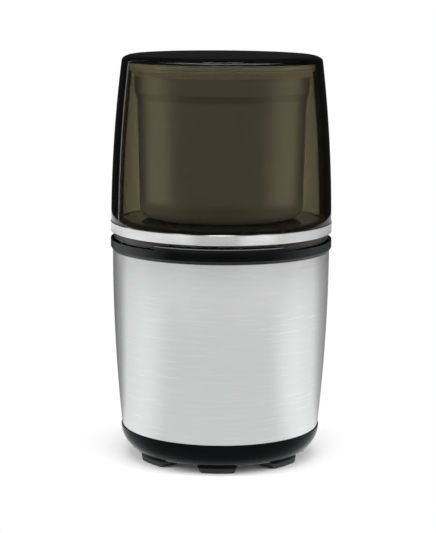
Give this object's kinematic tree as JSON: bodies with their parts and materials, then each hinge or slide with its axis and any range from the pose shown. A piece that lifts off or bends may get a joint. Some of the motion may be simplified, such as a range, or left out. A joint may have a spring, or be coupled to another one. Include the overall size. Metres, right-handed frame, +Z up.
{
  "type": "electric spice grinder",
  "caption": "Round motor base in brushed steel with a removable steel grinding bowl and a smoked see-through lid that is pushed down to run it.",
  "frame": {"origin": "on the table, under the middle of the base; it is the bottom centre of the box", "axes": "+Z up along the motor shaft and bowl axis; -Y is the front, where the collar is raised; the cord inlet is at the back, +Y"},
  "size_m": [0.11, 0.11, 0.2016],
  "materials": {
    "smoked_clear": "polished smoked plastic",
    "polished_steel": "polished",
    "brushed_steel": "brushed around",
    "bowl_steel": "satin",
    "black_plastic": "smooth",
    "inner_plastic": "fine grain",
    "pale_plastic": "smooth",
    "fan_plastic": "smooth",
    "foil_film": "smooth",
    "fuse_body": "smooth",
    "foot_rubber": "matt",
    "black_rubber": "matt",
    "seal_rubber": "matt",
    "grey_silicone": "matt",
    "blade_steel": "ground",
    "turned_steel": "turned",
    "spring_steel": "drawn",
    "zinc_screws": "zinc plated",
    "core_steel": "stacked sheet",
    "copper": "varnished wire",
    "commutator_copper": "turned",
    "die_cast": "die cast",
    "brass": "pressed",
    "bronze": "sintered",
    "carbon": "pressed carbon"
  },
  "bodies": {
    "base": {"base_tub": "black_plastic", "foot_pads": "foot_rubber", "steel_shell": "brushed_steel", "top_housing": "black_plastic", "body_screws": "zinc_screws", "cord_gland": "inner_plastic", "cord_clamp": "inner_plastic", "clamp_screws": "zinc_screws", "terminal_block": "pale_plastic", "capacitor": "foil_film", "thermal_fuse": "fuse_body", "stator_core": "core_steel", "field_coils": "copper", "upper_bracket": "die_cast", "lower_bracket": "die_cast", "upper_bearing": "turned_steel", "lower_bearing": "turned_steel", "motor_screws": "zinc_screws", "motor_mounts": "black_rubber", "mount_screws": "zinc_screws", "lower_mount": "black_rubber", "brush_holders": "brass", "carbon_brushes": "carbon", "brush_springs": "spring_steel", "brush_caps": "inner_plastic", "switch_carrier": "inner_plastic", "carrier_screws": "zinc_screws", "microswitch": "inner_plastic", "rod_spring": "spring_steel"},
    "rotor": {"motor_shaft": "turned_steel", "drive_coupling": "inner_plastic", "armature_core": "core_steel", "armature_windings": "copper", "commutator": "commutator_copper", "cooling_fan": "fan_plastic", "shaft_slinger": "black_rubber"},
    "push_rod": {"push_rod": "pale_plastic"},
    "switch_lever": {"switch_lever": "spring_steel"},
    "bowl_seat": {"bowl_seat_ring": "black_rubber"},
    "bowl": {"bowl_cup": "bowl_steel", "bowl_base": "inner_plastic", "spindle_housing": "inner_plastic", "spindle_bushes": "bronze", "spindle_seal": "seal_rubber", "bowl_screws": "zinc_screws"},
    "blade": {"blade": "blade_steel", "blade_spindle": "turned_steel", "blade_washer": "blade_steel", "blade_nut": "blade_steel", "driven_coupling": "inner_plastic", "spindle_clip": "spring_steel"},
    "gasket": {"bowl_gasket": "grey_silicone"},
    "lid": {"lid_shell": "smoked_clear", "lid_ribs": "smoked_clear", "lid_trim_ring": "polished_steel"}
  },
  "joints": [
    {"name": "rotor_spin", "type": "hinge", "parent": "base", "child": "rotor", "pos_m": [0, 0, 0.06], "axis": [0, 0, 1], "continuous": true},
    {"name": "bowl_twist", "type": "hinge", "parent": "base", "child": "bowl_seat", "pos_m": [0, 0, 0.1202], "axis": [0, 0, 1], "range_deg": [-25, 0]},
    {"name": "bowl_lift", "type": "slide", "parent": "bowl_seat", "child": "bowl", "axis": [0, 0, 1], "range_m": [0, 0.12]},
    {"name": "blade_spin", "type": "hinge", "parent": "bowl", "child": "blade", "pos_m": [0, 0, 0.1263], "axis": [0, 0, 1], "continuous": true},
    {"name": "lid_lift", "type": "slide", "parent": "bowl", "child": "gasket", "axis": [0, 0, 1], "range_m": [0, 0.12]},
    {"name": "lid_press", "type": "slide", "parent": "gasket", "child": "lid", "axis": [0, 0, 1], "range_m": [-0.0015, 0], "stiffness_N_per_m": 1000, "springref_m": 0.006},
    {"name": "rod_push", "type": "slide", "parent": "base", "child": "push_rod", "axis": [0, 0, 1], "range_m": [-0.0015, 0], "deforming": ["rod_spring"]},
    {"name": "lever_tilt", "type": "hinge", "parent": "base", "child": "switch_lever", "pos_m": [0.0355, 0, 0.0737], "axis": [0, 1, 0], "range_deg": [0, 8.1]}
  ],
  "couplings": [
    {"joint": "blade_spin", "follows": "rotor_spin", "ratio": 1},
    {"joint": "rod_push", "follows": "lid_press", "ratio": 1},
    {"joint": "lever_tilt", "follows": "lid_press", "rad_per_m": -93.084}
  ]
}
